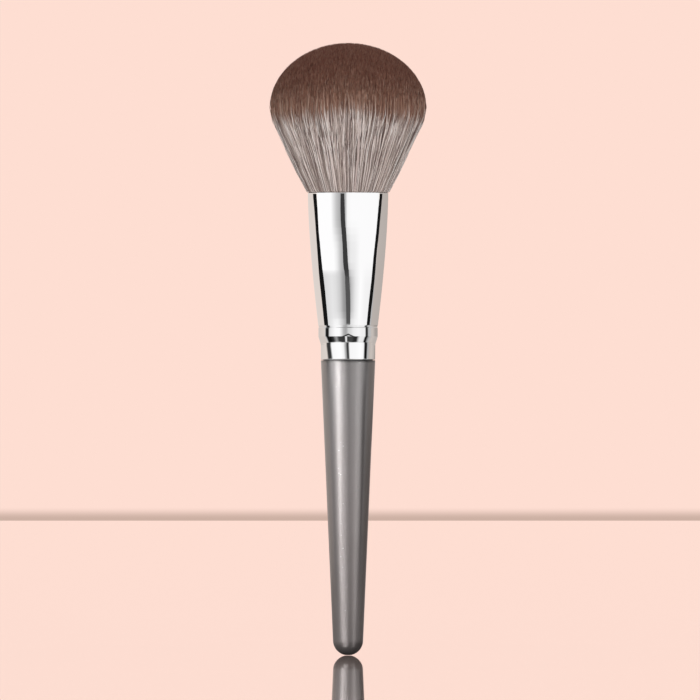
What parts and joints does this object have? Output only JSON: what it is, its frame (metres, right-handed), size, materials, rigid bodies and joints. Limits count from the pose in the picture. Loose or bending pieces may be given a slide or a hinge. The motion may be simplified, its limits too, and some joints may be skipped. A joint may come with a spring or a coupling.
{
  "type": "powder brush",
  "caption": "Large domed face-powder brush: two-tone fibre head in a tapered chromed ferrule with a crimped bead, on a slim grey lacquered handle with a round butt.",
  "frame": {"origin": "centre of the small flat at the butt of the handle, the lowest point of the brush", "axes": "+Z along the brush from the butt to the crown of the fibre head; +X and +Y are square to it, and the brush is round"},
  "size_m": [0.0502, 0.0503, 0.196],
  "materials": {
    "grey_lacquer": "gloss",
    "bright_chrome": "polished",
    "two_tone_fibre": "satin",
    "thread": "matte",
    "resin": "gloss",
    "glue": "satin"
  },
  "bodies": {
    "root": {"handle": "grey_lacquer", "ferrule": "bright_chrome", "fibre_tuft": "two_tone_fibre", "binding_thread": "thread", "root_plug": "resin", "tenon_glue": "glue"}
  },
  "joints": []
}
